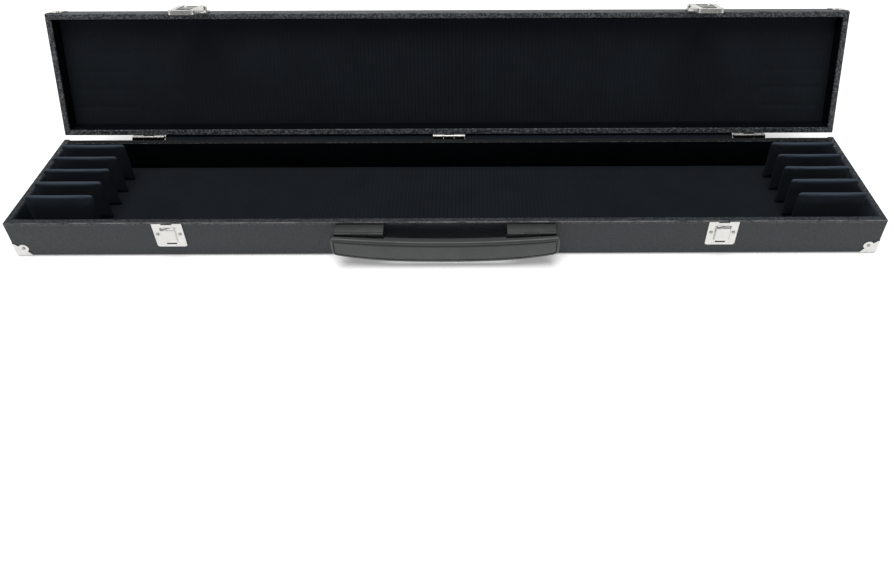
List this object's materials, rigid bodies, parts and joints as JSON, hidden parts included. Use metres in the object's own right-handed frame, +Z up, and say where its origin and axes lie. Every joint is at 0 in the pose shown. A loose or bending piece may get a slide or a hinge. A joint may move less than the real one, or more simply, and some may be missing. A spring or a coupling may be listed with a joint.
{
  "type": "violin bow case",
  "caption": "Long, slim case for violin bows: a leathercloth-covered box with a hinged lid, plush lining, end holders, draw latches, metal corners and a carrying handle.",
  "frame": {"origin": "middle of the underside, where the closed base stands on a table", "axes": "+X along the case to the right, -Y out of the front with the handle and latches, +Z up; rest pose has the lid open on its stops"},
  "size_m": [0.8024, 0.2036, 0.1825],
  "materials": {
    "leathercloth": "grained, satin",
    "handle_leathercloth": "fine grain, satin",
    "plush": "short pile with fine ribs",
    "board": "raw fibreboard",
    "nickel": "bright nickel plate"
  },
  "bodies": {
    "base": {"base_back_board": "board", "base_bottom_board": "board", "base_bottom_sheet": "leathercloth", "base_corner_back_left": "nickel", "base_corner_back_right": "nickel", "base_corner_front_left": "nickel", "base_corner_front_right": "nickel", "base_fasteners": "nickel", "base_front_board": "board", "base_left_board": "board", "base_right_board": "board", "base_side_covering": "leathercloth", "base_wall_lining": "plush", "bow_holder_left_1": "plush", "bow_holder_left_2": "plush", "bow_holder_left_3": "plush", "bow_holder_left_4": "plush", "bow_holder_left_5": "plush", "bow_holder_right_1": "plush", "bow_holder_right_2": "plush", "bow_holder_right_3": "plush", "bow_holder_right_4": "plush", "bow_holder_right_5": "plush", "catch_plate_left": "nickel", "catch_plate_right": "nickel", "floor_pad": "plush", "handle_pins": "nickel", "handle_tab_left": "handle_leathercloth", "handle_tab_right": "handle_leathercloth", "hinge_base_leaf_left": "nickel", "hinge_base_leaf_middle": "nickel", "hinge_base_leaf_right": "nickel", "hinge_pins": "nickel", "seam_strips": "leathercloth"},
    "lid": {"hinge_lid_leaf_left": "nickel", "hinge_lid_leaf_middle": "nickel", "hinge_lid_leaf_right": "nickel", "latch_plate_left": "nickel", "latch_plate_right": "nickel", "lever_pins": "nickel", "lid_back_board": "board", "lid_corner_back_left": "nickel", "lid_corner_back_right": "nickel", "lid_corner_front_left": "nickel", "lid_corner_front_right": "nickel", "lid_covering": "leathercloth", "lid_fasteners": "nickel", "lid_front_board": "board", "lid_left_board": "board", "lid_pad": "plush", "lid_right_board": "board", "lid_top_board": "board", "lid_wall_lining": "plush"},
    "lever_left": {"latch_lever_left": "nickel", "claw_pin_left": "nickel"},
    "lever_right": {"latch_lever_right": "nickel", "claw_pin_right": "nickel"},
    "claw_left": {"latch_claw_left": "nickel"},
    "claw_right": {"latch_claw_right": "nickel"},
    "handle": {"handle_grip": "handle_leathercloth"}
  },
  "joints": [
    {"name": "lid_hinge", "type": "hinge", "parent": "base", "child": "lid", "pos_m": [0, 0.0658, 0.04145], "axis": [1, 0, 0], "range_deg": [0, 108], "deforming": ["seam_strips"]},
    {"name": "lever_left_hinge", "type": "hinge", "parent": "lid", "child": "lever_left", "pos_m": [-0.252, 0.10785, 0.16973], "axis": [1, 0, 0], "range_deg": [-95, 0]},
    {"name": "claw_left_hinge", "type": "hinge", "parent": "lever_left", "child": "claw_left", "pos_m": [-0.252, 0.11032, 0.16893], "axis": [1, 0, 0], "range_deg": [-40, 8]},
    {"name": "lever_right_hinge", "type": "hinge", "parent": "lid", "child": "lever_right", "pos_m": [0.252, 0.10785, 0.16973], "axis": [1, 0, 0], "range_deg": [-95, 0]},
    {"name": "claw_right_hinge", "type": "hinge", "parent": "lever_right", "child": "claw_right", "pos_m": [0.252, 0.11032, 0.16893], "axis": [1, 0, 0], "range_deg": [-40, 8]},
    {"name": "handle_hinge", "type": "hinge", "parent": "base", "child": "handle", "pos_m": [0, -0.0719, 0.0348], "axis": [1, 0, 0], "range_deg": [-95, 0]}
  ]
}
